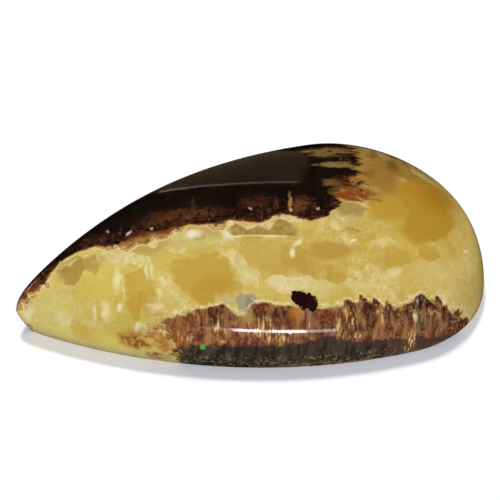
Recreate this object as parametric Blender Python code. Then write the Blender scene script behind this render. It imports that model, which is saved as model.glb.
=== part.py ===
"""A polished calcite cabochon: one pear-shaped piece of banded stone with a flat ground base.

Metres, +Z up. The stone lies on its base at z = 0, centred on its own box. Its point is at -X
and its round end at +X.

The plan outline is half an ellipse at the round end and two long side arcs that meet at the point.
Each level of the stone is a ring worked out from that outline, in polar form around the middle of
the head, where the crown is highest.
"""
import math

import bmesh
import bpy

MM = 0.001

# Overall plan
LENGTH = 40.0 * MM
HALF_WIDTH = 12.56 * MM
HEAD_REACH = 10.55 * MM  # from the widest line to the round end
POINT_REACH = LENGTH - HEAD_REACH
POINT_SHARPNESS = 50.0  # a higher power leaves a smaller rounding at the point

# Underside: a small bevel between the flat base and the girdle, the widest line around the stone
BASE_INSET = 0.42 * MM
BEVEL_POWER = 1.25
GIRDLE_AT_POINT = 2.0 * MM
GIRDLE_AT_HEAD = 0.25 * MM

# Upper side: a steep rounded wall, then a low crown
WALL_RISE = 3.1 * MM
WALL_SHARE = 0.155  # share of the way to the middle that the wall takes
WALL_POWER = 1.85
CROWN_RISE = 4.75 * MM
CROWN_POWER = 2.0

# Towards the middle the rings turn from the pointed pear into an egg, so no keel runs to the point
EGG_REACH = 0.86  # the egg's reach towards the point, as a share of the pear's
EGG_LEVEL = 0.5  # level at which the ring is fully an egg

# Mesh density
RAYS = 96
RAY_CROWDING = 1.6  # rays stand closer together near the point, where the outline turns fast
BEVEL_RINGS = 5
WALL_RINGS = 9
WALL_CROWDING = 2.0  # wall rings stand closer together near the girdle, where the wall is steepest
CROWN_RINGS = 13
SHARP_FROM = math.radians(35.0)  # edges that turn more than this keep a crisp shade

STONE_COLOUR = (0.55, 0.36, 0.085, 1.0)
STONE_ROUGHNESS = 0.12


def clear_scene():
    for thing in list(bpy.data.objects):
        bpy.data.objects.remove(thing, do_unlink=True)


def far_side_of_circle(centre_y, radius, angle):
    """How far a ray from the origin travels to the far side of a circle centred on the Y axis."""
    along = centre_y * math.sin(angle)
    return along + math.sqrt(along * along + radius * radius - centre_y * centre_y)


def sharp_point_reach():
    """Where the two side arcs would cross: rounding them off then leaves exactly POINT_REACH."""
    return POINT_REACH * 2.0 ** (1.0 / POINT_SHARPNESS)


def side_radius():
    """Radius of the side arc that touches the head at its widest line and passes the sharp point."""
    reach = sharp_point_reach()
    return (reach * reach + HALF_WIDTH * HALF_WIDTH) / (2.0 * HALF_WIDTH)


def ellipse_reach(angle, along_x):
    return 1.0 / math.hypot(math.cos(angle) / along_x, math.sin(angle) / HALF_WIDTH)


def outline_reach(angle):
    """Distance from the middle of the head to the plan outline."""
    if math.cos(angle) > 0.0:
        return ellipse_reach(angle, HEAD_REACH)
    radius = side_radius()
    left = far_side_of_circle(HALF_WIDTH - radius, radius, angle)
    right = far_side_of_circle(radius - HALF_WIDTH, radius, angle)
    both = left ** -POINT_SHARPNESS + right ** -POINT_SHARPNESS
    return both ** (-1.0 / POINT_SHARPNESS)


def egg_reach(angle):
    if math.cos(angle) > 0.0:
        return ellipse_reach(angle, HEAD_REACH)
    return ellipse_reach(angle, POINT_REACH * EGG_REACH)


def ring_reach(angle, level):
    """Distance to the ring at a level, where 1 is the girdle and 0 is the top of the crown."""
    share = min(1.0, (1.0 - level) / (1.0 - EGG_LEVEL))
    blend = share * share * (3.0 - 2.0 * share)
    pear = outline_reach(angle)
    return level * (pear + blend * (egg_reach(angle) - pear))


def girdle_height(x):
    """The girdle sinks evenly from the point to the round end."""
    share = (x + POINT_REACH) / LENGTH
    return GIRDLE_AT_POINT + share * (GIRDLE_AT_HEAD - GIRDLE_AT_POINT)


def rise_over_girdle(level):
    share = max(0.0, 1.0 - (1.0 - level) / WALL_SHARE)
    wall = WALL_RISE * (1.0 - share ** WALL_POWER) ** (1.0 / WALL_POWER)
    crown = CROWN_RISE * (1.0 - level ** CROWN_POWER)
    return wall + crown


def ray_angles():
    """Angles around the head, crowded towards the point."""
    angles = []
    for index in range(RAYS):
        turn = 2.0 * index / RAYS - 1.0
        angles.append(math.pi + math.copysign(math.pi * abs(turn) ** RAY_CROWDING, turn))
    return angles


def top_levels():
    """Levels above the girdle, down to the last ring before the middle of the crown."""
    levels = []
    for index in range(1, WALL_RINGS + 1):
        levels.append(1.0 - WALL_SHARE * (index / WALL_RINGS) ** WALL_CROWDING)
    for index in range(1, CROWN_RINGS):
        levels.append((1.0 - WALL_SHARE) * (1.0 - index / CROWN_RINGS))
    return levels


def bevel_ring(angles, share):
    """One ring of the underside bevel, from the base at share 0 to the girdle at share 1."""
    shrink = 1.0 - BASE_INSET * (1.0 - share) ** BEVEL_POWER / HALF_WIDTH
    points = []
    for angle in angles:
        reach = outline_reach(angle)
        height = girdle_height(reach * math.cos(angle)) * share
        points.append((reach * shrink * math.cos(angle), reach * shrink * math.sin(angle), height))
    return points


def top_ring(angles, level):
    points = []
    for angle in angles:
        reach = ring_reach(angle, level)
        x = reach * math.cos(angle)
        points.append((x, reach * math.sin(angle), girdle_height(x) + rise_over_girdle(level)))
    return points


def stone_mesh():
    angles = ray_angles()
    rings = [bevel_ring(angles, index / BEVEL_RINGS) for index in range(BEVEL_RINGS + 1)]
    rings += [top_ring(angles, level) for level in top_levels()]
    shift = LENGTH / 2.0 - HEAD_REACH
    solid = bmesh.new()
    loops = []
    for ring in rings:
        loops.append([solid.verts.new((x + shift, y, z)) for x, y, z in ring])
    for lower, upper in zip(loops, loops[1:]):
        for index in range(RAYS):
            after = (index + 1) % RAYS
            solid.faces.new((lower[index], lower[after], upper[after], upper[index]))
    summit = solid.verts.new((shift, 0.0, girdle_height(0.0) + rise_over_girdle(0.0)))
    for index in range(RAYS):
        solid.faces.new((loops[-1][index], loops[-1][(index + 1) % RAYS], summit))
    solid.faces.new(loops[0])
    bmesh.ops.recalc_face_normals(solid, faces=solid.faces)
    mesh = bpy.data.meshes.new("stone")
    solid.to_mesh(mesh)
    solid.free()
    mesh.shade_smooth()
    mesh.set_sharp_from_angle(angle=SHARP_FROM)
    return mesh


def stone_material():
    material = bpy.data.materials.new("banded_calcite")
    material.use_nodes = True
    shader = material.node_tree.nodes["Principled BSDF"]
    shader.inputs["Base Color"].default_value = STONE_COLOUR
    shader.inputs["Roughness"].default_value = STONE_ROUGHNESS
    shader.inputs["Metallic"].default_value = 0.0
    return material


clear_scene()
stone = bpy.data.objects.new("stone", stone_mesh())
stone.data.materials.append(stone_material())
bpy.context.scene.collection.objects.link(stone)
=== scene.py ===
# %% [markdown]
# A polished calcite cabochon. It is one pear-shaped piece of natural stone, 40 mm long, with a dark
# band, a milky yellow middle of grown crystals, and a brown fibrous band along one side.
#
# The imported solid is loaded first, as a fixed frame. The look is then built around it: a finer mesh
# of the same form, and one material in which every band and crystal is worked out from the place
# inside the stone, in millimetres. So the bands run on round the back and across the base, as they
# do in real stone that was cut from a larger lump.

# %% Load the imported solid
import math

import bpy
import numpy as np
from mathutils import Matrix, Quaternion, Vector


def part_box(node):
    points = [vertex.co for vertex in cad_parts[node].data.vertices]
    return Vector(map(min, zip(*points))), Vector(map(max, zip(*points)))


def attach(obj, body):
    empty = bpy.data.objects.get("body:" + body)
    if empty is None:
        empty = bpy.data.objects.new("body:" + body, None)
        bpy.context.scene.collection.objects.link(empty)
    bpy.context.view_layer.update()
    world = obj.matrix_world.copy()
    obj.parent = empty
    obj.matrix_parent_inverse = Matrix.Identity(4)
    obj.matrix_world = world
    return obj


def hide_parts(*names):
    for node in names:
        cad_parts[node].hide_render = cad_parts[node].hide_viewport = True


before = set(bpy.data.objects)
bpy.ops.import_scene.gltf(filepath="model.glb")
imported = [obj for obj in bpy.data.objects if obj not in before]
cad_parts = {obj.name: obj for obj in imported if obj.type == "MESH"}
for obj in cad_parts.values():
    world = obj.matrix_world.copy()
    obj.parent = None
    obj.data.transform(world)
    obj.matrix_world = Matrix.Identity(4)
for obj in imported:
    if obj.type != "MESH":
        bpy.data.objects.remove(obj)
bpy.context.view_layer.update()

MM = 0.001
stone_low, stone_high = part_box("stone")
stone_size = [high - low for low, high in zip(stone_low, stone_high)]
print("packed stone, mm:", [round(side / MM, 2) for side in stone_size])

# %% [markdown]
# The camera comes early, because every later choice is judged through it. The photograph was taken
# from about 39 degrees above the table, a little round from the stone's side, with the round end
# turned away. A long lens held close keeps the slight perspective of the photograph. The picture was
# also turned by four degrees. The camera could be aimed past the stone to frame it, but that would
# change the perspective, so a small shift moves the stone down to where the photograph has it.

# %% Set the camera
CAMERA_AZIMUTH = math.radians(-24.0)
CAMERA_ELEVATION = math.radians(38.8)
CAMERA_ROLL = math.radians(4.0)
CAMERA_DISTANCE = 132.3 * MM
LENS = 114.0
SENSOR = 36.0
SHIFT_X = -0.0019
SHIFT_Y = 0.0652
NEAREST = 1.0 * MM
FARTHEST = 10.0

back = Vector(
    (
        math.sin(CAMERA_AZIMUTH) * math.cos(CAMERA_ELEVATION),
        -math.cos(CAMERA_AZIMUTH) * math.cos(CAMERA_ELEVATION),
        math.sin(CAMERA_ELEVATION),
    )
)
camera_data = bpy.data.cameras.new("camera")
camera_data.lens = LENS
camera_data.sensor_width = SENSOR
camera_data.shift_x = SHIFT_X
camera_data.shift_y = SHIFT_Y
camera_data.clip_start = NEAREST
camera_data.clip_end = FARTHEST
camera = bpy.data.objects.new("camera", camera_data)
camera.location = back * CAMERA_DISTANCE
camera.rotation_mode = "QUATERNION"
camera.rotation_quaternion = (-back).to_track_quat("-Z", "Y") @ Quaternion((0, 0, 1), CAMERA_ROLL)
bpy.context.scene.collection.objects.link(camera)
bpy.context.scene.camera = camera
print("camera stands at, mm:", [round(value / MM, 1) for value in camera.location])

# %% [markdown]
# The form is what a lapidary grinds: a pear outline, a steep rounded wall, a low crown, and a flat
# base with a narrow bevel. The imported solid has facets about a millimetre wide, and a polished stone
# shows each of them in its reflections. A subdivision of that mesh would round the crisp base edge,
# so the same rules are worked out again on a grid that is about four times finer. A ring at level 1
# is the girdle, the widest line round the stone, and level 0 is the top of the crown.

# %% Plan outline of the stone
LENGTH = 40.0 * MM
HALF_WIDTH = 12.56 * MM
HEAD_REACH = 10.55 * MM
POINT_REACH = LENGTH - HEAD_REACH
POINT_SHARPNESS = 50.0
EGG_REACH = 0.86


def ellipse_reach(angle, along_x):
    return 1.0 / np.hypot(np.cos(angle) / along_x, np.sin(angle) / HALF_WIDTH)


def outline_reach(angle):
    """Distance from the middle of the head to the outline: half an ellipse, then two side arcs."""
    sharp = POINT_REACH * 2.0 ** (1.0 / POINT_SHARPNESS)
    radius = (sharp ** 2 + HALF_WIDTH ** 2) / (2.0 * HALF_WIDTH)
    centre = radius - HALF_WIDTH
    along = centre * np.sin(angle)
    edge = np.sqrt(along ** 2 + radius ** 2 - centre ** 2)
    both = (edge - along) ** -POINT_SHARPNESS + (edge + along) ** -POINT_SHARPNESS
    head = ellipse_reach(angle, HEAD_REACH)
    return np.where(np.cos(angle) > 0.0, head, both ** (-1.0 / POINT_SHARPNESS))


def egg_reach(angle):
    """The same for the egg that the upper rings turn into, which stops short of the point."""
    head = ellipse_reach(angle, HEAD_REACH)
    tail = ellipse_reach(angle, POINT_REACH * EGG_REACH)
    return np.where(np.cos(angle) > 0.0, head, tail)


print("outline reach at the side, mm:", round(float(outline_reach(math.pi / 2)) / MM, 2))

# %% [markdown]
# The wall and the crown are ground in long even strokes, so each level of the stone is one smooth
# ring. The form could be sculpted, but its measures would drift. Here each ring is the plan outline
# drawn in by its level, and two plain rules give its height: one for the wall, one for the crown. High
# up the rings turn from the pear into an egg, so that no keel runs to the point.

# %% Heights of the rings
BASE_INSET = 0.42 * MM
BEVEL_POWER = 1.25
GIRDLE_AT_POINT = 2.0 * MM
GIRDLE_AT_HEAD = 0.25 * MM
WALL_RISE = 3.1 * MM
WALL_SHARE = 0.155
WALL_POWER = 1.85
CROWN_RISE = 4.75 * MM
CROWN_POWER = 2.0
EGG_LEVEL = 0.5


def girdle_height(x):
    share = (x + POINT_REACH) / LENGTH
    return GIRDLE_AT_POINT + share * (GIRDLE_AT_HEAD - GIRDLE_AT_POINT)


def bevel_ring(angles, share):
    reach = outline_reach(angles)
    shrink = 1.0 - BASE_INSET * (1.0 - share) ** BEVEL_POWER / HALF_WIDTH
    height = girdle_height(reach * np.cos(angles)) * share
    return np.stack([reach * shrink * np.cos(angles), reach * shrink * np.sin(angles), height], 1)


def top_ring(angles, level):
    share = min(1.0, (1.0 - level) / (1.0 - EGG_LEVEL))
    blend = share * share * (3.0 - 2.0 * share)
    pear = outline_reach(angles)
    reach = level * (pear + blend * (egg_reach(angles) - pear))
    x = reach * np.cos(angles)
    wall_left = max(0.0, 1.0 - (1.0 - level) / WALL_SHARE)
    wall = WALL_RISE * (1.0 - wall_left ** WALL_POWER) ** (1.0 / WALL_POWER)
    crown = CROWN_RISE * (1.0 - level ** CROWN_POWER)
    return np.stack([x, reach * np.sin(angles), girdle_height(x) + wall + crown], 1)


crown_top = top_ring(np.zeros(1), 0.0)
print("top of the crown, mm:", round(float(crown_top[0][2]) / MM, 2))

# %% [markdown]
# The rings are joined into one closed skin. They stand closer together low on the wall, where it is
# steepest, and their points are crowded towards the stone's point, where the outline turns fast. Every
# point lies on the true form, so the shading is smooth, and only the edge of the base stays crisp. The
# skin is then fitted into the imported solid's own box and takes that solid's place.

# %% Build the fine mesh
RAYS = 360
RAY_CROWDING = 1.6
BEVEL_RINGS = 8
WALL_RINGS = 36
WALL_CROWDING = 2.0
CROWN_RINGS = 56
SHARP_FROM = math.radians(35.0)

turns = np.linspace(-1.0, 1.0, RAYS, endpoint=False)
angles = math.pi + np.copysign(math.pi * np.abs(turns) ** RAY_CROWDING, turns)
rings = [bevel_ring(angles, share) for share in np.linspace(0.0, 1.0, BEVEL_RINGS + 1)]
for step in range(1, WALL_RINGS + 1):
    rings.append(top_ring(angles, 1.0 - WALL_SHARE * (step / WALL_RINGS) ** WALL_CROWDING))
for step in range(1, CROWN_RINGS):
    rings.append(top_ring(angles, (1.0 - WALL_SHARE) * (1.0 - step / CROWN_RINGS)))
points = np.concatenate(rings + [crown_top])

low, high = points.min(axis=0), points.max(axis=0)
points = (points - low) / (high - low) * np.array(stone_size) + np.array(stone_low)

faces = []
for ring in range(len(rings) - 1):
    for ray in range(RAYS):
        after = (ray + 1) % RAYS
        start = ring * RAYS
        faces.append((start + ray, start + after, start + RAYS + after, start + RAYS + ray))
last = (len(rings) - 1) * RAYS
faces += [(last + ray, last + (ray + 1) % RAYS, len(points) - 1) for ray in range(RAYS)]
faces.append(tuple(reversed(range(RAYS))))

stone_mesh = bpy.data.meshes.new("polished_stone")
stone_mesh.from_pydata(points.tolist(), [], faces)
stone_mesh.validate()
stone_mesh.shade_smooth()
stone_mesh.set_sharp_from_angle(angle=SHARP_FROM)
stone = bpy.data.objects.new("polished_stone", stone_mesh)
bpy.context.scene.collection.objects.link(stone)
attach(stone, "root")
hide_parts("stone")
print("polished stone:", len(points), "points,", len(faces), "faces")

# %% [markdown]
# Two helpers come first. Colours are easiest to judge as the eye reads them, from 0 to 255, but shaders
# want linear values, so one helper turns the first into the second. The other places lights and
# reflections by their turn from the camera's side and their elevation, both in degrees.

# %% Colours and directions


def seen(red, green, blue):
    """A colour as the eye reads it, 0 to 255, turned into the linear values that shaders use."""
    linear = []
    for value in (red, green, blue):
        share = value / 255.0
        linear.append(share / 12.92 if share <= 0.04045 else ((share + 0.055) / 1.055) ** 2.4)
    return (*linear, 1.0)


def from_camera(turn, elevation, distance):
    """A place round the stone, with its turn counted from the camera's own side."""
    azimuth = CAMERA_AZIMUTH + math.radians(turn)
    rise = math.radians(elevation)
    flat = math.cos(rise) * distance
    return Vector((math.sin(azimuth) * flat, -math.cos(azimuth) * flat, math.sin(rise) * distance))


print("middle grey is", round(seen(128, 128, 128)[0], 3), "in linear light")

# %% [markdown]
# The stone was photographed on white, so the floor is a plain pale sheet in a pale room. A polished
# stone mirrors everything, and the crown in the photograph mirrors a dark studio. So neither the room
# nor the sheet is seen in reflections, and what the stone does mirror is placed further on.

# %% Floor and world
FLOOR_SIZE = 4.0
FLOOR_SHADE = (252, 252, 252)
FLOOR_ROUGHNESS = 0.9
ROOM_LIGHT = 0.28

bpy.ops.mesh.primitive_plane_add(size=FLOOR_SIZE)
floor = bpy.context.active_object
floor.name = "floor"
floor.visible_glossy = False
sheet = bpy.data.materials.new("white_sheet")
sheet.use_nodes = True
sheet_shader = sheet.node_tree.nodes["Principled BSDF"]
sheet_shader.inputs["Base Color"].default_value = seen(*FLOOR_SHADE)
sheet_shader.inputs["Roughness"].default_value = FLOOR_ROUGHNESS
sheet_shader.inputs["Specular IOR Level"].default_value = 0.0
floor.data.materials.append(sheet)

world = bpy.data.worlds.new("pale_room")
world.use_nodes = True
world_nodes = world.node_tree.nodes
rays = world_nodes.new("ShaderNodeLightPath")
strength = world_nodes.new("ShaderNodeMapRange")
strength.inputs["To Min"].default_value = ROOM_LIGHT
strength.inputs["To Max"].default_value = 1.0
world.node_tree.links.new(rays.outputs["Is Camera Ray"], strength.inputs["Value"])
world.node_tree.links.new(strength.outputs["Result"], world_nodes["Background"].inputs["Strength"])
world_nodes["Background"].inputs["Color"].default_value = (1.0, 1.0, 1.0, 1.0)
bpy.context.scene.world = world
world.cycles_visibility.glossy = False
bpy.context.scene.view_settings.view_transform = "Standard"
bpy.context.scene.view_settings.look = "None"
print("floor", FLOOR_SIZE, "m across in a room of strength", ROOM_LIGHT)

# %% [markdown]
# A sun from high behind throws the even grey shadow that lies in front of the stone. A second one
# shines from just over the camera, so its own shadow is hidden behind the stone, and it fills the
# first shadow evenly. It is a little cooler, as the shadow in the photograph is. An area light would
# give a shadow that fades with distance, so suns are used.

# %% Suns


def sun(name, turn, elevation, power, width, tint):
    """A sun of a given width across, in degrees, that isn't itself mirrored in the stone."""
    light = bpy.data.lights.new(name, "SUN")
    light.energy = power
    light.color = tint
    light.angle = math.radians(width)
    thing = bpy.data.objects.new(name, light)
    thing.rotation_mode = "QUATERNION"
    thing.rotation_quaternion = (-from_camera(turn, elevation, 1.0)).to_track_quat("-Z", "Y")
    thing.visible_glossy = False
    bpy.context.scene.collection.objects.link(thing)
    return thing


WARM = (1.05, 1.0, 0.93)
COOL = (0.94, 0.98, 1.12)
back_sun = sun("back_sun", turn=204.0, elevation=64.0, power=1.65, width=8.0, tint=WARM)
camera_sun = sun("camera_sun", turn=3.0, elevation=42.0, power=1.6, width=6.0, tint=COOL)
print("suns:", back_sun.name, "and", camera_sun.name)

# %% [markdown]
# Two things are mirrored in the photograph. A thin bright lamp draws the white line along the near
# wall, in pieces, because the line is bright in its middle, has two small gaps and fades at its ends.
# A large dim panel behind the stone puts a faint veil on the far side of the crown, with a thin
# brighter edge. Area lights could do it, but their light would also fall on the floor. So both are
# glowing cards that show in reflections alone. A third one shines on the stone's back wall, so that
# the polish shows from there too.

# %% Reflected cards
CARD_DISTANCE = 0.5


def card(name, corners, glow_colour, brightness):
    """A glowing card; its corners are (turn, elevation) as seen from the stone."""
    mesh = bpy.data.meshes.new(name)
    places = [from_camera(turn, elevation, CARD_DISTANCE) for turn, elevation in corners]
    mesh.from_pydata(places, [], [tuple(range(len(corners)))])
    glow = bpy.data.materials.new(name)
    glow.use_nodes = True
    shader = glow.node_tree.nodes["Principled BSDF"]
    shader.inputs["Base Color"].default_value = (0.0, 0.0, 0.0, 1.0)
    shader.inputs["Specular IOR Level"].default_value = 0.0
    shader.inputs["Emission Color"].default_value = glow_colour
    shader.inputs["Emission Strength"].default_value = brightness
    mesh.materials.append(glow)
    thing = bpy.data.objects.new(name, mesh)
    thing.visible_camera = False
    thing.visible_diffuse = False
    thing.visible_shadow = False
    bpy.context.scene.collection.objects.link(thing)


LAMP_LIGHT = (1.0, 0.97, 0.97, 1.0)
LAMP_ELEVATION = 10.1
LAMP_SLOPE = 0.206
LAMP_HALF_HEIGHT = 1.7
LAMP_PIECES = [
    (-2.5, 5.2, 1.8),
    (5.2, 11.8, 16.0),
    (12.1, 14.3, 10.0),
    (14.5, 22.5, 18.0),
    (22.5, 29.5, 5.0),
]
for start, end, brightness in LAMP_PIECES:
    first = LAMP_ELEVATION - LAMP_SLOPE * start
    last = LAMP_ELEVATION - LAMP_SLOPE * end
    lower = [(start, first - LAMP_HALF_HEIGHT), (end, last - LAMP_HALF_HEIGHT)]
    upper = [(end, last + LAMP_HALF_HEIGHT), (start, first + LAMP_HALF_HEIGHT)]
    card("front_lamp", lower + upper, LAMP_LIGHT, brightness)
PANEL_FOOT = [(182.0, -40.0), (196.0, -40.0)]
PANEL_EDGE = [(194.3, -4.6), (193.5, 4.9), (191.6, 13.9), (188.7, 20.1), (185.0, 25.5), (182.0, 28.8)]
TRIM_TURN = 0.4
TRIM_RISE = 0.9
trim = [(turn + TRIM_TURN, rise + TRIM_RISE) for turn, rise in reversed(PANEL_EDGE)]
card("back_panel", PANEL_FOOT + PANEL_EDGE, (1.0, 0.74, 0.4, 1.0), brightness=0.08)
card("back_panel_trim", PANEL_EDGE + trim, (1.0, 0.9, 0.75, 1.0), brightness=0.65)
SIDE_LAMP = [(238.0, 12.0), (262.0, 12.0), (262.0, 17.0), (238.0, 17.0)]
card("side_lamp", SIDE_LAMP, LAMP_LIGHT, brightness=4.0)
print("cards stand", CARD_DISTANCE, "m from the stone")

# %% [markdown]
# The pattern is made of nodes, so it needs many small steps. These helpers keep each step on a line:
# one feeds a value or a link into a socket, one does a sum, one mixes two colours by a mask. They all
# work on the node tree in hand, which is always called tree.

# %% Node helpers


def feed(socket, value):
    if isinstance(value, bpy.types.NodeSocket):
        tree.links.new(value, socket)
    else:
        socket.default_value = value


def add(kind, inputs=(), **settings):
    node = tree.nodes.new(kind)
    for name, value in settings.items():
        setattr(node, name, value)
    for name, value in dict(inputs).items():
        feed(node.inputs[name], value)
    return node


def calc(operation, *values):
    node = add("ShaderNodeMath", operation=operation)
    for socket, value in zip(node.inputs, values):
        feed(socket, value)
    return node.outputs[0]


def product(*values):
    result = values[0]
    for value in values[1:]:
        result = calc("MULTIPLY", result, value)
    return result


def vector_calc(operation, *values):
    node = add("ShaderNodeVectorMath", operation=operation)
    for socket, value in zip(node.inputs, values):
        feed(socket, value)
    return node.outputs["Value"] if operation in ("LENGTH", "DOT_PRODUCT") else node.outputs["Vector"]


def scaled(vector, factor):
    node = add("ShaderNodeVectorMath", operation="SCALE")
    feed(node.inputs[0], vector)
    feed(node.inputs["Scale"], factor)
    return node.outputs["Vector"]


def joined(x, y, z):
    return add("ShaderNodeCombineXYZ", {"X": x, "Y": y, "Z": z}).outputs[0]


def soft_step(value, start, end, low=0.0, high=1.0):
    """Goes smoothly from low to high while the value goes from start to end."""
    node = add("ShaderNodeMapRange", interpolation_type="SMOOTHSTEP")
    names = ("Value", "From Min", "From Max", "To Min", "To Max")
    for name, given in zip(names, (value, start, end, low, high)):
        feed(node.inputs[name], given)
    return node.outputs["Result"]


def mix(mask, under, over):
    node = add("ShaderNodeMix", data_type="RGBA")
    feed(node.inputs[0], mask)
    feed(node.inputs[6], under)
    feed(node.inputs[7], over)
    return node.outputs[2]


def noise(place, per_mm, detail=3.0, roughness=0.5):
    settings = {"Vector": place, "Scale": per_mm, "Detail": detail, "Roughness": roughness}
    return add("ShaderNodeTexNoise", settings).outputs


def curve_of(value, low, high, points):
    """A drawn curve: points are (input, output), and both run over the range low to high."""
    node = add("ShaderNodeFloatCurve")
    line = node.mapping.curves[0]
    span = high - low
    places = [((a - low) / span, (b - low) / span) for a, b in points]
    line.points[0].location = places[0]
    line.points[-1].location = places[-1]
    for a, b in places[1:-1]:
        line.points.new(a, b)
    node.mapping.update()
    feed(node.inputs["Value"], calc("DIVIDE", calc("SUBTRACT", value, low), span))
    return calc("MULTIPLY_ADD", node.outputs[0], span, low)


def new_group(name, inputs, outputs):
    tree = bpy.data.node_groups.new(name, "ShaderNodeTree")
    for label, kind, value in inputs:
        socket = tree.interface.new_socket(label, in_out="INPUT", socket_type="NodeSocket" + kind)
        socket.default_value = value
    for label, kind in outputs:
        tree.interface.new_socket(label, in_out="OUTPUT", socket_type="NodeSocket" + kind)
    return tree, tree.nodes.new("NodeGroupInput").outputs, tree.nodes.new("NodeGroupOutput").inputs


def use_group(group, **inputs):
    node = add("ShaderNodeGroup", node_tree=group)
    for name, value in inputs.items():
        feed(node.inputs[name.replace("_", " ")], value)
    return node.outputs


print("node helpers ready")

# %% [markdown]
# Where two kinds of stone meet, the crystals of one have grown into the other, so the join is ragged:
# blunt teeth about a millimetre wide. The join is first drawn as a smooth curve, and a group then
# pushes the distance to it back and forth by a cell texture, whose level lines are scalloped. Plain
# noise could push it too, but it gives a wavy edge without teeth.

# %% Group: ragged join
tree, given, result = new_group(
    "ragged_join",
    [
        ("Place", "Vector", (0, 0, 0)),
        ("Distance", "Float", 0.0),
        ("Tooth width", "Float", 1.0),
        ("Tooth depth", "Float", 0.5),
    ],
    [("Distance", "Float")],
)
per_mm = calc("DIVIDE", 1.0, given["Tooth width"])
teeth = add("ShaderNodeTexVoronoi", {"Vector": given["Place"], "Scale": per_mm})
fine = noise(given["Place"], product(per_mm, 2.4), 4.0, 0.6)
push = calc("SUBTRACT", 0.45, teeth.outputs["Distance"])
push = calc("MULTIPLY_ADD", calc("SUBTRACT", fine[0], 0.5), 0.8, push)
deep = product(given["Tooth depth"], 2.0)
feed(result["Distance"], calc("MULTIPLY_ADD", push, deep, given["Distance"]))
ragged_join = tree
print("group", tree.name, "has", len(tree.nodes), "nodes")

# %% [markdown]
# Single crystals show in the stone as patches of honey, khaki or milk, some with a thin painted
# highlight along one edge. Each is a soft egg inside the stone, turned to lie as it does in the
# photograph. The group gives a mask that is 1 in the middle of the crystal, and a painted highlight
# along the edge on its far side, where the light from behind catches it. Push is a noise that makes
# the egg's outline uneven. A cell texture could scatter such patches, but it couldn't lay each one
# where it belongs.

# %% Group: single crystal
HIGHLIGHT_PLACE = 1.06
HIGHLIGHT_REACH = 0.16
FAR_SIDE = (0.3, 0.9, 0.0)
tree, given, result = new_group(
    "single_crystal",
    [
        ("Place", "Vector", (0, 0, 0)),
        ("Centre", "Vector", (0, 0, 0)),
        ("Reach", "Vector", (1, 1, 1)),
        ("Turn", "Float", 0.0),
        ("Softness", "Float", 0.2),
        ("Push", "Float", 0.0),
    ],
    [("Mask", "Float"), ("Highlight rim", "Float")],
)
offset = vector_calc("SUBTRACT", given["Place"], given["Centre"])
placing = {"Vector": offset, "Angle": product(given["Turn"], -1.0)}
turned = add("ShaderNodeVectorRotate", placing, rotation_type="Z_AXIS")
egg = vector_calc("DIVIDE", turned.outputs[0], given["Reach"])
reach = calc("ADD", vector_calc("LENGTH", egg), given["Push"])
outer = calc("ADD", 1.0, given["Softness"])
inner = calc("SUBTRACT", 1.0, given["Softness"])
feed(result["Mask"], soft_step(reach, outer, inner))
# Painted highlight: a pale line just outside the egg, only on the side lit from behind.
from_edge = calc("ABSOLUTE", calc("SUBTRACT", reach, HIGHLIGHT_PLACE))
edge = soft_step(from_edge, HIGHLIGHT_REACH, 0.02)
outward = vector_calc("NORMALIZE", offset)
far_side = soft_step(vector_calc("DOT_PRODUCT", outward, FAR_SIDE), 0.0, 0.7)
feed(result["Highlight rim"], product(edge, far_side))
single_crystal = tree
print("group", tree.name, "has", len(tree.nodes), "nodes")

# %% [markdown]
# The brown bands are fibrous: thin crystals stand side by side across the band. A noise that is fine
# along the band and drawn out across it gives such strands. Glints are the few strands that pass a
# high threshold. A wave texture draws strands as well, but far too even ones. The place that goes in
# has X along the band and Y across it.

# %% Group: strands
tree, given, result = new_group(
    "strands",
    [
        ("Place", "Vector", (0, 0, 0)),
        ("Per mm", "Float", 2.0),
        ("Drawn out", "Float", 6.0),
        ("Lean", "Float", 0.0),
    ],
    [("Light", "Float"), ("Glint", "Float")],
)
axis = add("ShaderNodeSeparateXYZ", {"Vector": given["Place"]}).outputs
along = calc("MULTIPLY_ADD", axis["Y"], given["Lean"], axis["X"])
slow = calc("DIVIDE", axis["Y"], given["Drawn out"])
flat = joined(along, slow, product(axis["Z"], 0.2))
wide = noise(flat, given["Per mm"], 4.0, 0.6)
thin = noise(flat, product(given["Per mm"], 2.6), 2.0, 0.5)
feed(result["Light"], soft_step(wide[0], 0.32, 0.68))
feed(result["Glint"], soft_step(thin[0], 0.60, 0.70))
strands = tree
print("group", tree.name, "has", len(tree.nodes), "nodes")

# %% [markdown]
# The rest of the stone is a web of smaller crystals. Each has its own depth of colour, and seams run
# between them. A cell texture gives all of it: a tone for each cell, the place of its middle, and the
# distance to its edge in mm. Facets could be cut into the mesh instead, but they would spoil the
# polish, so the web is only a pattern.

# %% Group: crystal web
tree, given, result = new_group(
    "crystal_web",
    [("Place", "Vector", (0, 0, 0)), ("Cell size", "Float", 3.0)],
    [("Tone", "Float"), ("Middle", "Vector"), ("To seam", "Float")],
)
per_mm = calc("DIVIDE", 1.0, given["Cell size"])
cell = {"Vector": given["Place"], "Scale": per_mm}
tone = add("ShaderNodeTexVoronoi", cell)
seam = add("ShaderNodeTexVoronoi", cell, feature="DISTANCE_TO_EDGE")
cell_tone = add("ShaderNodeSeparateColor", {"Color": tone.outputs["Color"]})
feed(result["Tone"], cell_tone.outputs["Red"])
feed(result["Middle"], tone.outputs["Position"])
feed(result["To seam"], product(seam.outputs["Distance"], given["Cell size"]))
crystal_web = tree
print("group", tree.name, "has", len(tree.nodes), "nodes")

# %% [markdown]
# The material starts from the place inside the stone, in millimetres. It is also kept in three warped
# forms, so that edges run unevenly. One bends a little over about a millimetre, and one crumples. The
# third is drawn towards the middle of the crystal that it lies in, so a soft patch laid there breaks
# into nearly flat facets with crisp borders. An unwrapped map of the surface could hold the pattern,
# but only a place inside the stone makes the bands meet round the edge.

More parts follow.
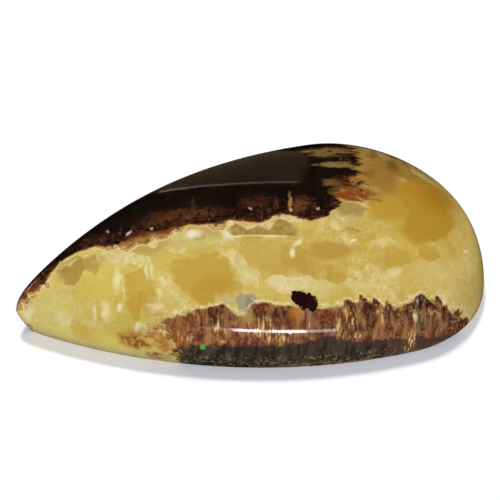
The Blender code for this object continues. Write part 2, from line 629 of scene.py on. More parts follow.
# %% Material: place inside the stone
BEND = 0.6
CRUMPLE = 0.45
FACET_SIZE = 1.6
SMALL_FACET_SIZE = 0.8
calcite = bpy.data.materials.new("banded_calcite")
calcite.use_nodes = True
tree = calcite.node_tree
shader = tree.nodes["Principled BSDF"]
place = scaled(add("ShaderNodeTexCoord").outputs["Object"], 1.0 / MM)
x, y, z = add("ShaderNodeSeparateXYZ", {"Vector": place}).outputs


def warped(source, shifts, reach):
    """The place moved by a shift colour, whose middle is 0.5, times the reach in mm."""
    centred = vector_calc("SUBTRACT", shifts, (0.5, 0.5, 0.5))
    return vector_calc("ADD", source, scaled(centred, reach))


def gathered(source, cell_size, share):
    """The place moved part of the way to the middle of its crystal, and that crystal's web."""
    web = use_group(crystal_web, Place=source, Cell_size=cell_size)
    to_middle = vector_calc("SUBTRACT", web["Middle"], source)
    return vector_calc("ADD", source, scaled(to_middle, share)), web


bent = warped(place, noise(place, per_mm=0.9, detail=2.0)["Color"], BEND)
crumpled = warped(bent, noise(bent, per_mm=2.6, detail=2.0)["Color"], CRUMPLE)
faceted, facets = gathered(bent, FACET_SIZE, share=0.45)
faceted, small_facets = gathered(faceted, SMALL_FACET_SIZE, share=0.35)
uneven = calc("MULTIPLY_ADD", noise(place, per_mm=1.1, detail=3.0)[0], 0.9, -0.45)
cloudy = noise(faceted, per_mm=0.42, detail=3.0, roughness=0.5)[0]
frosty = noise(crumpled, per_mm=1.7, detail=5.0, roughness=0.65)[0]
grainy = noise(place, per_mm=3.6, detail=3.0, roughness=0.6)[0]
mottle = noise(crumpled, per_mm=1.8, detail=5.0, roughness=0.7)[0]
print("place nodes:", len(tree.nodes))

# %% [markdown]
# Two joins part the stone. The dark band fills the far side, and its edge wanders along the crown from
# the point and turns up and back before the round end. The brown band lies along the near wall. Each
# join is a curve in plan, in millimetres, with its distance made ragged. A drawn curve is used because
# no noise would wander where the real join does. At the round end the dark band breaks into fingers
# that lie along the grain, so there a stretched noise moves its edge. A few blunt teeth of brown rise
# into the yellow, and on the left the brown band ends in a slanting, crumbled edge.

# %% Material: joins
RANGE = (-22.0, 22.0)
DARK_LINE = [
    (-22, -0.3), (-19.8, -0.2), (-18.1, -0.7), (-16.2, 0.3), (-13.7, 0.6), (-12.1, 0.1), (-9.7, 0.2),
    (-7.7, -0.2), (-6.4, -0.2), (-5.6, -0.4), (-3.9, -1.15), (-2.7, -1.35), (-0.5, -2.4), (0.9, -2.2),
    (1.9, -2.35), (2.9, -3.3), (4.5, -3.55), (5.7, -3.45), (9.0, -2.8), (22, 4.0),
]
DARK_END = [
    (-22, 4.0), (-3.4, 4.6), (-2.6, 6.2), (-1.7, 6.9), (-0.8, 7.3), (-0.1, 8.1), (0.6, 9.1), (1.4, 9.5),
    (2.8, 10.1), (4.5, 10.8), (6.9, 11.4), (8.4, 11.5), (22, 9.0),
]
BROWN_LINE = [
    (-22, -4.0), (-12.0, -6.0), (-10.5, -6.8), (-9.8, -6.9), (-8.4, -7.2), (-6.9, -7.6), (-5.7, -7.9),
    (-5.2, -8.4), (-4.3, -8.9), (-3.2, -8.65), (-2.1, -9.1), (-1.1, -9.45), (0.3, -9.9), (1.3, -10.2),
    (3.3, -10.5), (5.2, -10.7), (7.5, -11.3), (8.7, -11.3), (9.8, -11.15), (11.1, -11.4),
    (12.2, -11.5), (13.6, -11.2), (14.5, -10.9), (22, -9.0),
]
GRAIN_TURN = math.radians(22.0)
FINGER_STRETCH = (0.2, 1.0, 0.4)
FINGER_REACH = 5.0
grain = add("ShaderNodeVectorRotate", {"Vector": bent, "Angle": GRAIN_TURN}, rotation_type="Z_AXIS")
finger_place = vector_calc("MULTIPLY", grain.outputs[0], FINGER_STRETCH)
fingers = calc("SUBTRACT", noise(finger_place, per_mm=1.0, detail=4.0, roughness=0.6)[0], 0.5)
from_dark_line = calc("SUBTRACT", y, curve_of(x, *RANGE, DARK_LINE))
from_dark_end = calc("SUBTRACT", curve_of(y, *RANGE, DARK_END), x)
from_dark_end = calc("MULTIPLY_ADD", fingers, FINGER_REACH, from_dark_end)
into_dark = calc("SMOOTH_MIN", from_dark_line, from_dark_end, 0.8)
dark_join = use_group(ragged_join, Place=bent, Distance=into_dark, Tooth_width=0.7, Tooth_depth=0.22)
dark_depth = dark_join["Distance"]
into_brown = calc("SUBTRACT", curve_of(x, *RANGE, BROWN_LINE), y)
TEETH = [
    (4.9, 0.35, 0.30),
    (6.0, 0.3, 0.25),
    (6.9, 0.3, 0.25),
    (9.5, 0.8, 0.22),
    (11.6, 0.6, 0.25),
    (3.7, 0.4, 0.25),
]
for middle, half_width, rise in TEETH:
    aside = calc("ABSOLUTE", calc("SUBTRACT", x, middle))
    tooth = soft_step(aside, half_width + 0.1, half_width - 0.15, 0.0, rise)
    into_brown = calc("ADD", into_brown, tooth)
END_PLACE = 10.5
END_HEIGHT = 3.3
END_LEAN = 0.35
left_end = calc("MULTIPLY_ADD", calc("SUBTRACT", z, END_HEIGHT), END_LEAN, calc("ADD", x, END_PLACE))
left_end = calc("MULTIPLY_ADD", calc("SUBTRACT", mottle, 0.5), 2.2, left_end)
into_brown = calc("SMOOTH_MIN", into_brown, left_end, 0.6)
MIDDLE_DEPTH = 0.12
END_DEPTH = 0.24
tooth_depth = soft_step(calc("ABSOLUTE", calc("ADD", x, 1.5)), 4.0, 9.0, MIDDLE_DEPTH, END_DEPTH)
brown_join = use_group(
    ragged_join, Place=bent, Distance=into_brown, Tooth_width=0.9, Tooth_depth=tooth_depth
)
brown_depth = brown_join["Distance"]
print("joins drawn through", len(DARK_LINE) + len(DARK_END) + len(BROWN_LINE), "points")

# %% [markdown]
# The yellow middle starts as a soft ground: pale and a little green at the point, honey in the middle,
# ochre high up towards the round end and creamy low down there. Soft clouds keep it from being even,
# and each facet is a little deeper or paler than the next. A colour ramp could hold the colours, but
# separate steps can each have their own direction and strength. One helper lays a list of them.

# %% Material: yellow ground


def tinted(under, steps):
    """Lay colours over the one so far, each from where it starts to where its cover is full."""
    for value, start, full, cover, shade in steps:
        under = mix(soft_step(value, start, full, 0.0, cover), under, seen(*shade))
    return under


ALONG = [
    (x, -19.5, -14.0, 1.0, (208, 190, 94)),
    (x, -13.0, -4.0, 1.0, (204, 182, 92)),
    (x, 0.0, 8.0, 1.0, (202, 174, 84)),
]
ground = tinted(seen(214, 198, 118), ALONG)
ochre = product(soft_step(x, 4.0, 10.0), soft_step(y, -5.0, -0.5))
ground = mix(ochre, ground, seen(164, 124, 52))
creamy = product(soft_step(x, 8.0, 15.0), soft_step(y, -6.5, -9.0))
ground = mix(creamy, ground, seen(203, 179, 100))
ground = tinted(ground, [(x, 14.5, 19.0, 0.7, (216, 194, 118))])
lively = soft_step(x, -14.5, -11.0, 0.4, 1.0)
ground = mix(product(soft_step(cloudy, 0.48, 0.32, 0.0, 0.5), lively), ground, seen(190, 158, 66))
ground = mix(product(soft_step(cloudy, 0.50, 0.68, 0.0, 0.6), lively), ground, seen(220, 204, 138))
FACET_TONES = [
    (facets["Tone"], 0.2, 1.0, 0.28, (190, 160, 70)),
    (small_facets["Tone"], 0.4, 0.0, 0.12, (222, 206, 140)),
]
ground = tinted(ground, FACET_TONES)
print("ground nodes:", len(tree.nodes))

# %% [markdown]
# Then come the crystals that the photograph shows, one by one, because a random pattern would put them
# in the wrong places. Each line has a name for the reader, where the crystal lies, how far it reaches
# along, across and up in millimetres, and how it is turned, in degrees. Then come its colour, how much
# it covers, and how soft its edge is.

# %% Material: laying crystals


def lay(under, where, crystals, push=0.0, highlight_shade=None, highlight_strength=0.0, cover=1.0):
    """Lay each crystal over the colour so far, with a painted highlight on its rim if one is asked for.
    """
    for _, centre, reach, turn, shade, strength, softness in crystals:
        crystal = use_group(
            single_crystal,
            Place=where,
            Centre=centre,
            Reach=reach,
            Turn=math.radians(turn),
            Softness=softness,
            Push=push,
        )
        under = mix(product(crystal["Mask"], strength, cover), under, seen(*shade))
        # A painted highlight along the crystal's far edge, where the light from behind catches it.
        if highlight_shade:
            under = mix(product(crystal["Highlight rim"], highlight_strength), under, seen(*highlight_shade))
    return under


print("crystals are laid by one helper")

# %% [markdown]
# Milk is where the calcite is full of tiny cracks and lets less light through. It lies between the
# large crystals and along both joins, with pale seams between its facets. A noise could place the
# clouds too, but the large ones are laid where they are on the real stone. A soft frost, finer than a
# tenth of a millimetre in places, breaks them up.

# %% Material: milk
MILK = [
    ("left_top", (-11.9, -1.4, 6.5), (2.4, 0.6, 3.0), -14, (212, 197, 134), 0.8, 0.6),
    ("middle_top", (-6.0, -2.2, 7.3), (2.6, 0.8, 3.0), -18, (212, 199, 132), 0.6, 0.6),
    ("painted_light_low_left", (-17.0, -2.9, 3.0), (0.7, 0.6, 0.5), -39, (222, 208, 150), 0.8, 0.6),
    ("between", (-9.9, -5.0, 5.7), (1.1, 0.7, 2.0), 76, (214, 196, 122), 0.8, 0.6),
    ("patch", (-8.9, -5.0, 6.0), (0.75, 0.6, 2.0), -34, (217, 200, 134), 0.8, 0.6),
    ("centre", (-3.0, -6.4, 6.7), (1.25, 0.7, 2.0), -39, (212, 197, 134), 0.9, 0.6),
    ("knot", (-0.7, -7.8, 6.3), (1.1, 0.7, 2.0), -22, (221, 206, 160), 0.9, 0.5),
    ("right", (1.2, -8.7, 6.1), (1.8, 0.75, 2.0), -13, (214, 199, 134), 0.85, 0.6),
    ("pale_right", (5.1, -9.6, 5.8), (2.7, 0.6, 2.0), -7, (212, 197, 124), 0.85, 0.6),
    ("low_right", (12.2, -9.5, 5.4), (2.0, 0.8, 2.0), 7, (212, 192, 122), 0.6, 0.6),
    ("brown_join", (-8.0, -6.7, 5.2), (2.0, 0.35, 2.0), -22, (216, 198, 130), 0.7, 0.6),
    ("grey_facets", (6.4, -3.6, 8.2), (1.7, 0.9, 2.0), -5, (196, 181, 112), 0.8, 0.4),
]
yellow = lay(ground, faceted, MILK, uneven)
milk_zone = soft_step(cloudy, 0.42, 0.60, 0.1, 1.0)
not_ochre = calc("SUBTRACT", 1.0, ochre)
milk_zone = product(milk_zone, lively, not_ochre, soft_step(x, 10.0, 5.0, 0.3, 1.0))
milk_seams = product(soft_step(facets["To seam"], 0.14, 0.0), milk_zone, soft_step(frosty, 0.4, 0.6))
yellow = mix(product(milk_seams, 0.35), yellow, seen(234, 220, 170))
milky = product(milk_zone, soft_step(frosty, 0.44, 0.74))
yellow = mix(product(milky, 0.65), yellow, seen(232, 219, 172))
yellow = mix(product(milk_zone, soft_step(frosty, 0.50, 0.30, 0.0, 0.35)), yellow, seen(180, 148, 66))
print("milky clouds:", len(MILK))

# %% [markdown]
# The honey and amber crystals are clear, so they are laid over the milk: deeper in colour, without
# frost, and with painted shade in their lower parts, darker where the light has come further through
# the stone. Glassy inclusions could be real geometry, but under one polished skin only their colour
# shows. Khaki crystals lie near the dark band, two of them without a painted highlight, and a grey
# window opens over the brown.

# %% Material: honey, amber and khaki
# Rows named _deep in HONEY and AMBER are painted shade in the lower part of a clear crystal.
HONEY = [
    ("left", (-11.4, -4.5, 5.5), (1.7, 1.1, 4.0), 78, (196, 165, 66), 0.9, 0.15),
    ("left_deep", (-11.3, -5.4, 5.0), (0.9, 0.7, 3.0), -43, (190, 152, 52), 0.7, 0.7),
    ("middle", (-6.3, -5.4, 6.5), (2.3, 1.9, 4.0), -27, (195, 163, 72), 0.95, 0.1),
    ("middle_deep", (-6.0, -6.5, 5.9), (1.7, 0.95, 3.0), -20, (188, 150, 56), 0.85, 0.7),
    ("centre", (-0.7, -5.8, 7.2), (3.4, 1.25, 3.0), -30, (196, 168, 82), 0.85, 0.3),
    ("centre_deep", (1.2, -6.9, 7.0), (1.8, 0.75, 3.0), -25, (187, 151, 60), 0.8, 0.7),
    ("right_low", (3.3, -8.2, 6.6), (0.8, 0.4, 2.0), -20, (186, 152, 64), 0.7, 0.5),
    ("low_right", (8.3, -8.1, 6.6), (1.2, 0.7, 2.0), 0, (192, 158, 64), 0.8, 0.5),
    ("small", (11.9, -8.0, 6.3), (0.9, 0.5, 2.0), 11, (192, 154, 62), 0.8, 0.5),
    ("foot", (-15.6, -4.2, 1.6), (0.8, 1.0, 0.7), -41, (200, 162, 62), 0.8, 0.5),
    ("khaki_top", (-4.9, -1.5, 7.6), (1.5, 0.5, 2.0), -32, (178, 150, 84), 0.65, 0.5),
    ("khaki_rim", (-9.0, -1.3, 6.8), (2.2, 0.5, 2.0), -14, (176, 148, 84), 0.6, 0.5),
]
AMBER = [
    ("centre", (3.8, -6.4, 7.3), (1.65, 0.82, 3.0), -15, (184, 148, 62), 0.85, 0.3),
    ("high", (11.6, 0.6, 8.4), (3.4, 1.6, 3.0), 58, (158, 117, 47), 0.9, 0.5),
    ("left", (10.2, -3.7, 8.0), (2.1, 1.45, 3.0), 4, (188, 149, 52), 0.9, 0.25),
    ("left_low", (10.6, -5.6, 7.7), (1.8, 0.9, 3.0), 0, (194, 162, 70), 0.7, 0.6),
    ("lower", (13.2, -5.1, 6.9), (3.3, 1.5, 4.0), 30, (182, 140, 42), 0.92, 0.2),
    ("upper", (14.7, -1.7, 7.2), (3.8, 2.0, 4.0), 27, (184, 141, 40), 0.94, 0.15),
    ("upper_deep", (16.0, -1.6, 6.6), (2.2, 1.5, 3.0), 40, (174, 127, 32), 0.7, 0.7),
]
KHAKI = [
    ("left", (-15.3, -0.8, 6.0), (1.9, 1.0, 2.0), -8, (176, 148, 76), 0.9, 0.3),
    ("left_deep", (-15.6, -0.7, 5.9), (1.1, 0.6, 2.0), -8, (166, 134, 62), 0.7, 0.7),
    ("right", (7.3, -3.2, 8.3), (1.3, 0.65, 2.0), -8, (160, 134, 66), 0.8, 0.4),
    ("window_left", (-5.0, -7.8, 5.6), (0.75, 0.6, 1.0), -20, (192, 186, 156), 0.95, 0.15),
    ("window", (-3.9, -8.3, 5.5), (0.8, 0.65, 1.0), -18, (168, 158, 126), 0.95, 0.15),
    ("window_deep", (-3.5, -8.6, 5.3), (0.5, 0.4, 0.6), -18, (136, 128, 104), 0.8, 0.5),
]
YELLOW_GRAIN = [
    (grainy, 0.55, 0.75, 0.3, (226, 212, 156)),
    (grainy, 0.44, 0.26, 0.3, (164, 128, 48)),
]
# Painted highlight colour for the khaki crystals' far edges.
KHAKI_HIGHLIGHT = (226, 213, 162)
yellow = tinted(yellow, YELLOW_GRAIN)
yellow = lay(yellow, faceted, HONEY, product(uneven, 0.7))
yellow = lay(yellow, bent, AMBER, product(uneven, 0.6))
# Paler towards the round end: painted light that lifts the shade there.
yellow = tinted(yellow, [(x, 15.5, 19.5, 0.6, (216, 188, 102))])
# Paler low on the wall towards the point: painted light that lifts the wall's shade.
painted_light_low_left = product(soft_step(z, 2.2, 0.6), soft_step(x, -6.0, -12.0))
yellow = mix(product(painted_light_low_left, 0.5), yellow, seen(228, 212, 150))
yellow = lay(yellow, faceted, KHAKI, uneven, KHAKI_HIGHLIGHT, highlight_strength=0.5)
print("clear crystals:", len(HONEY) + len(AMBER) + len(KHAKI))

# %% [markdown]
# A few cracks and crystal faces catch the light as short white streaks and dots. They are laid over
# the crystals, thin and nearly white, as colour, because raised lines would spoil the polish. Then come
# the brown spots and the rust near the joins, whose edges crumble.

# %% Material: white streaks and brown spots
STREAKS = [
    ("spindle", (-12.7, -3.1, 5.9), (0.8, 0.28, 2.0), 73, (228, 217, 162), 0.85, 0.7),
    ("spindle_tail", (-12.5, -4.1, 5.4), (0.8, 0.09, 2.0), 72, (226, 212, 150), 0.6, 0.7),
    ("spot_low", (-13.0, -4.8, 4.5), (0.2, 0.2, 1.0), 0, (236, 226, 184), 0.8, 0.6),
    ("plume", (-14.0, -4.4, 3.9), (0.3, 0.6, 0.9), -10, (232, 221, 168), 0.85, 0.7),
    ("plume_left", (-14.8, -4.0, 3.7), (0.16, 0.5, 0.6), -10, (228, 216, 160), 0.8, 0.7),
    ("comb_a", (-10.4, -3.4, 6.3), (0.6, 0.12, 2.0), 80, (232, 220, 172), 0.8, 0.7),
    ("comb_b", (-10.0, -3.5, 6.3), (0.6, 0.12, 2.0), 86, (230, 218, 170), 0.75, 0.7),
    ("dash_low", (-10.4, -6.0, 4.9), (0.75, 0.5, 0.2), -28, (230, 216, 160), 0.7, 0.7),
    ("spot_band", (-12.0, -6.2, 3.4), (0.25, 0.3, 0.35), -35, (234, 224, 186), 0.7, 0.6),
    ("cloud_white", (-5.9, -1.4, 7.5), (0.55, 0.4, 2.0), -10, (240, 232, 206), 0.85, 0.7),
    ("cloud_dash", (-3.5, -2.5, 7.7), (0.55, 0.3, 2.0), -60, (236, 226, 194), 0.8, 0.7),
    ("top_line", (-1.3, -3.5, 7.8), (1.9, 0.10, 2.0), -20, (236, 222, 172), 0.9, 0.6),
    ("slant_line", (-4.2, -4.5, 7.1), (1.1, 0.12, 2.0), -67, (224, 206, 150), 0.6, 0.7),
    ("slash", (1.4, -5.2, 7.6), (0.6, 0.16, 2.0), 31, (234, 222, 172), 0.8, 0.7),
    ("slash_foot", (0.8, -5.9, 7.3), (0.3, 0.2, 2.0), 65, (238, 226, 188), 0.8, 0.6),
    ("dot_right", (5.9, -6.0, 7.5), (0.25, 0.12, 1.0), -8, (238, 228, 190), 0.8, 0.6),
    ("white_right", (8.2, -9.2, 6.0), (0.5, 0.35, 1.0), 20, (230, 216, 164), 0.6, 0.8),
    ("dot_edge", (15.7, -7.3, 5.0), (0.25, 0.13, 1.0), 38, (234, 224, 170), 0.8, 0.5),
    ("tip", (-19.3, -1.0, 2.4), (0.4, 0.3, 0.9), -36, (226, 214, 168), 0.8, 0.4),
]
SPOTS = [
    ("tip", (-19.2, -0.5, 3.5), (0.6, 0.38, 0.9), -12, (150, 92, 50), 0.9, 0.4),
    ("dash", (9.2, -2.6, 8.4), (0.7, 0.14, 2.0), -30, (140, 96, 40), 0.7, 0.6),
    ("arc", (6.2, -5.1, 7.8), (0.7, 0.13, 2.0), -22, (150, 112, 52), 0.6, 0.6),
    ("foot_ring", (-12.3, -6.2, 2.2), (1.2, 1.0, 0.9), -30, (196, 148, 66), 0.7, 0.6),
    ("smudge_top", (13.4, 2.6, 7.5), (1.5, 0.42, 2.0), 59, (122, 86, 40), 0.8, 0.6),
    ("smudge_far", (12.6, 4.6, 7.2), (1.4, 0.40, 2.0), 59, (132, 98, 50), 0.7, 0.6),
    ("smudge", (10.4, 0.8, 8.5), (0.7, 0.41, 2.0), 55, (136, 98, 46), 0.7, 0.6),
]
RUST = [
    ("large", (-12.1, -6.3, 2.2), (1.3, 1.0, 0.75), -30, (138, 74, 42), 0.95, 0.4),
    ("low", (-10.8, -7.2, 0.8), (0.8, 0.9, 0.5), -26, (146, 84, 46), 0.9, 0.5),
    ("high", (-11.0, -6.7, 3.3), (0.8, 0.9, 0.5), -26, (160, 98, 50), 0.85, 0.5),
    ("near", (-10.2, -7.2, 2.2), (0.6, 0.9, 0.8), -26, (160, 102, 52), 0.85, 0.5),
]
yellow = lay(yellow, bent, STREAKS, product(uneven, 1.3))
yellow = lay(yellow, crumpled, SPOTS, uneven)
yellow = lay(yellow, crumpled, RUST, uneven, cover=soft_step(mottle, 0.38, 0.54))
print("streaks:", len(STREAKS), "brown spots:", len(SPOTS) + len(RUST))

# %% [markdown]
# The dark band is near black chocolate. Close to its edge it is mottled with red-brown in places, and
# a few strands and crystal faces catch the light. One even brown would look like paint, so the strands,
# the mottling, a rusty margin and fine specks are laid one over the other.

# %% Material: dark band
dark_strands = use_group(strands, Place=place, Per_mm=1.3, Drawn_out=5.0, Lean=-0.3)
dark = mix(dark_strands["Light"], seen(16, 10, 9), seen(31, 21, 16))
near_edge = product(soft_step(dark_depth, 2.4, 0.4), soft_step(uneven, -0.15, 0.15))
dark = mix(product(soft_step(mottle, 0.42, 0.66), near_edge, 0.75), dark, seen(96, 48, 28))
BROWN_PATCHES = [
    ("tip", (-18.9, 0.1, 3.7), (1.1, 0.7, 1.5), -20, (146, 82, 48), 0.95, 0.5),
    ("left", (-12.7, 1.6, 6.3), (1.6, 0.7, 2.0), -25, (92, 50, 30), 0.8, 0.7),
    ("middle", (-6.2, 1.1, 7.5), (3.0, 0.85, 2.0), -15, (116, 68, 36), 0.85, 0.6),
    ("middle_top", (-7.0, 2.2, 7.3), (1.6, 0.6, 2.0), -15, (84, 48, 30), 0.7, 0.9),
    ("right", (0.0, 0.0, 8.3), (1.2, 0.8, 2.0), -25, (98, 50, 34), 0.75, 0.9),
    ("right_b", (3.2, -1.5, 8.5), (1.0, 0.65, 2.0), 20, (142, 84, 46), 0.85, 0.9),
]
blotchy = product(soft_step(mottle, 0.32, 0.68), soft_step(grainy, 0.25, 0.55, 0.5, 1.0))
dark = lay(dark, bent, BROWN_PATCHES, uneven, cover=blotchy)
bright_strand = product(
    dark_strands["Glint"], soft_step(dark_depth, 2.8, 0.8), soft_step(mottle, 0.4, 0.6)
)
dark = mix(product(bright_strand, 0.6), dark, seen(132, 84, 46))
margin = product(soft_step(dark_depth, 0.45, 0.05), soft_step(uneven, -0.2, 0.1))
dark = mix(product(margin, 0.8), dark, seen(122, 58, 30))
specks = product(soft_step(noise(crumpled, per_mm=3.0, detail=3.0)[0], 0.60, 0.72), near_edge)
dark = mix(product(specks, 0.7), dark, seen(176, 124, 74))
GLINTS = [
    ("a", (-11.8, 2.3, 6.3), (0.22, 0.10, 1.0), 79, (206, 190, 160), 0.8, 0.7),
    ("b", (-10.4, 1.0, 6.8), (0.30, 0.13, 1.0), 37, (230, 218, 190), 0.8, 0.7),
    ("c", (-8.6, 0.7, 7.1), (0.17, 0.10, 1.0), 77, (222, 205, 172), 0.8, 0.7),
    ("e", (-0.7, -0.6, 8.2), (0.14, 0.10, 1.0), 70, (190, 170, 150), 0.7, 0.7),
    ("f", (2.1, -1.9, 8.4), (0.16, 0.10, 1.0), 47, (228, 212, 190), 0.8, 0.7),
    ("g", (2.5, -0.9, 8.5), (0.95, 0.13, 1.0), 68, (170, 138, 80), 0.8, 0.7),
    ("h", (4.3, -2.4, 8.4), (0.13, 0.10, 1.0), 38, (206, 184, 160), 0.7, 0.7),
    ("i", (-4.6, 2.3, 7.6), (1.2, 0.12, 1.0), 70, (66, 44, 32), 0.8, 0.7),
]
dark = lay(dark, crumpled, GLINTS, uneven)
print("dark nodes:", len(tree.nodes))

# %% [markdown]
# The brown band stands on edge in the near wall. It is built of blocks of red-brown and ochre fibres.
# Here the way up the wall takes the place of the way across. Rounded lumps hang from its upper edge,
# and thin strands run down over them. Blocks and strands come from noise, as their exact places don't
# matter, but the lumps are laid one by one, because the eye finds them first.

# %% Material: brown band
WALL_SLOPE = 0.5
STRAND_LEAN = -0.15
BLOCK_SHAPE = (0.75, 0.34, 0.3)
climb = calc("MULTIPLY_ADD", y, WALL_SLOPE, z)
upright = joined(calc("MULTIPLY_ADD", z, STRAND_LEAN, x), climb, product(y, 0.3))
brown_strands = use_group(strands, Place=upright, Per_mm=2.4, Drawn_out=4.0, Lean=0.0)
block_place = vector_calc("MULTIPLY", upright, BLOCK_SHAPE)
shaken = vector_calc("ADD", block_place, scaled(noise(place, per_mm=1.6, detail=3.0)["Color"], 0.4))
blocks = use_group(crystal_web, Place=shaken, Cell_size=1.0)
strand_light = brown_strands["Light"]
BLOCK_TONES = [
    (blocks["Tone"], 0.1, 0.6, 1.0, (126, 70, 42)),
    (blocks["Tone"], 0.6, 1.0, 1.0, (150, 92, 50)),
    (strand_light, 0.5, 1.0, 0.6, (178, 116, 66)),
    (strand_light, 0.5, 0.0, 0.7, (58, 28, 20)),
]
brown = tinted(seen(82, 40, 28), BLOCK_TONES)
LUMPS = [
    ("a", (-6.2, -8.1, 4.9), (0.95, 1.2, 0.6), -22, (92, 40, 28), 0.95, 0.2),
    ("b", (-4.9, -8.8, 4.6), (0.7, 1.2, 0.5), -21, (108, 54, 40), 0.95, 0.2),
    ("c", (-2.8, -9.1, 5.2), (0.6, 1.2, 0.4), -12, (110, 48, 30), 0.95, 0.2),
    ("d", (-1.7, -9.8, 4.6), (0.75, 1.2, 0.65), -16, (116, 62, 44), 0.95, 0.2),
    ("d_top", (-1.7, -9.6, 5.05), (0.65, 1.2, 0.3), -16, (58, 24, 20), 0.9, 0.4),
    ("left", (-8.4, -7.6, 4.2), (0.8, 1.2, 0.6), -26, (134, 74, 44), 0.9, 0.2),
    ("left_low", (-8.2, -8.2, 3.1), (0.8, 1.2, 0.5), -26, (112, 56, 36), 0.9, 0.2),
    ("middle", (-5.8, -9.0, 3.4), (0.9, 1.2, 0.6), -26, (124, 66, 40), 0.85, 0.3),
    ("low", (-4.1, -10.0, 3.0), (1.1, 1.2, 0.4), -19, (112, 54, 42), 0.9, 0.5),
    ("low_dark", (-1.8, -10.5, 3.6), (0.6, 1.2, 0.28), -16, (60, 32, 28), 0.85, 0.5),
    ("low_right", (-0.3, -11.1, 2.9), (0.8, 1.2, 0.36), -14, (104, 60, 48), 0.85, 0.5),
    ("block", (2.1, -10.6, 4.5), (1.15, 1.2, 0.65), -12, (124, 60, 36), 0.95, 0.15),
    ("block_low", (1.7, -11.2, 3.4), (1.3, 1.2, 0.5), -10, (94, 48, 38), 0.85, 0.4),
    ("maroon", (5.3, -11.1, 4.5), (0.6, 1.2, 0.6), 0, (82, 32, 24), 0.9, 0.4),
    ("dark_line", (6.7, -11.6, 3.9), (0.3, 1.2, 1.0), 5, (66, 32, 22), 0.85, 0.5),
    ("orange", (7.5, -11.8, 3.6), (0.4, 1.2, 0.8), 5, (162, 98, 54), 0.8, 0.5),
    ("black", (9.7, -11.5, 4.2), (1.0, 1.2, 0.5), -3, (38, 17, 14), 0.95, 0.3),
    ("olive", (10.4, -12.2, 2.7), (0.9, 1.2, 0.8), 2, (112, 78, 50), 0.8, 0.5),
    ("purple", (12.6, -11.7, 2.3), (1.2, 1.2, 0.8), 15, (118, 74, 60), 0.85, 0.5),
]
# The lumps get the same painted highlight along their far edge, as if lit from behind.
LUMP_HIGHLIGHT = (206, 160, 108)
brown = lay(brown, bent, LUMPS, product(uneven, 0.7), LUMP_HIGHLIGHT, highlight_strength=0.75)
right_part = soft_step(x, 3.5, 6.0)
brown = mix(product(right_part, soft_step(mottle, 0.42, 0.60), 0.35), brown, seen(74, 36, 26))
GLOW = [
    ("glow", (-0.5, -10.1, 4.8), (0.5, 1.2, 0.4), -14, (192, 122, 42), 0.9, 0.7),
    ("gold", (-4.1, -9.1, 4.5), (0.5, 1.2, 0.45), -20, (178, 142, 84), 0.9, 0.6),
    ("ash", (0.6, -10.4, 4.6), (0.45, 1.2, 0.45), 0, (132, 102, 78), 0.8, 0.6),
]
brown = lay(brown, bent, GLOW, uneven)
DEEP_BROWN = (52, 25, 18)
BROWN_GRAIN = [
    (strand_light, 0.6, 1.0, 0.2, (176, 112, 68)),
    (strand_light, 0.4, 0.0, 0.2, DEEP_BROWN),
    (grainy, 0.54, 0.70, 0.4, (206, 160, 104)),
    (grainy, 0.44, 0.30, 0.4, DEEP_BROWN),
]
brown = tinted(brown, BROWN_GRAIN)
brown = mix(soft_step(strand_light, 0.35, 0.85, 0.01, 0.18), brown, seen(214, 176, 120))
print("brown nodes:", len(tree.nodes))

# %% [markdown]
# Low down the brown band turns a greenish black, flecked with olive. Towards the round end the black
# turns to a dark purple-brown without flecks. The two meet along the wall at a height that is drawn as
# a curve, as the joins are, and made uneven by the mottling.

# %% Material: black foot
FOOT_TOP = [
    (-22, -4), (-10.4, -1.0), (-9.6, 1.9), (-8.7, 2.3), (-4.2, 2.65), (0.0, 2.75), (2.0, 3.1),
    (3.5, 2.6), (6.0, 2.3), (9.4, 1.8), (12.0, 1.1), (14.0, 0.4), (22, -2),
]
below_top = calc("SUBTRACT", curve_of(x, *RANGE, FOOT_TOP), z)
below_top = calc("MULTIPLY_ADD", calc("SUBTRACT", mottle, 0.5), 1.6, below_top)
black_foot = mix(soft_step(brown_strands["Light"], 0.0, 1.0), seen(38, 36, 31), seen(70, 62, 51))
to_purple = soft_step(x, 5.0, 9.0)
lilac = mix(soft_step(below_top, 0.7, 0.1), black_foot, seen(78, 52, 46))
black_foot = mix(soft_step(x, -2.0, 2.0), black_foot, lilac)
black_foot = mix(to_purple, black_foot, seen(84, 58, 52))
flecks = product(soft_step(grainy, 0.50, 0.64), soft_step(z, 2.0, 0.9))
flecks = product(flecks, soft_step(x, 10.0, 5.0), soft_step(frosty, 0.36, 0.52))
black_foot = mix(product(flecks, 0.85), black_foot, seen(150, 140, 92))
# A pale tan line along the base: a painted reflection of the floor.
floor_reflection_line = product(soft_step(z, 0.8, 0.3), soft_step(frosty, 0.38, 0.55))
black_foot = mix(product(floor_reflection_line, soft_step(x, -3.0, 0.0), 0.8), black_foot, seen(160, 124, 88))
brown = mix(soft_step(below_top, -0.05, 0.2, 0.0, 0.97), brown, black_foot)
print("foot nodes:", len(tree.nodes))

# %% [markdown]
# In places the brown fibres shine like gold thread, and a few broken ends throw pale sparks. An
# anisotropic gloss could do it, but it would slide with the view. So the gold is colour: soft eggs laid
# white on black make a mask, and through it shows a fine noise drawn out along the fibres.

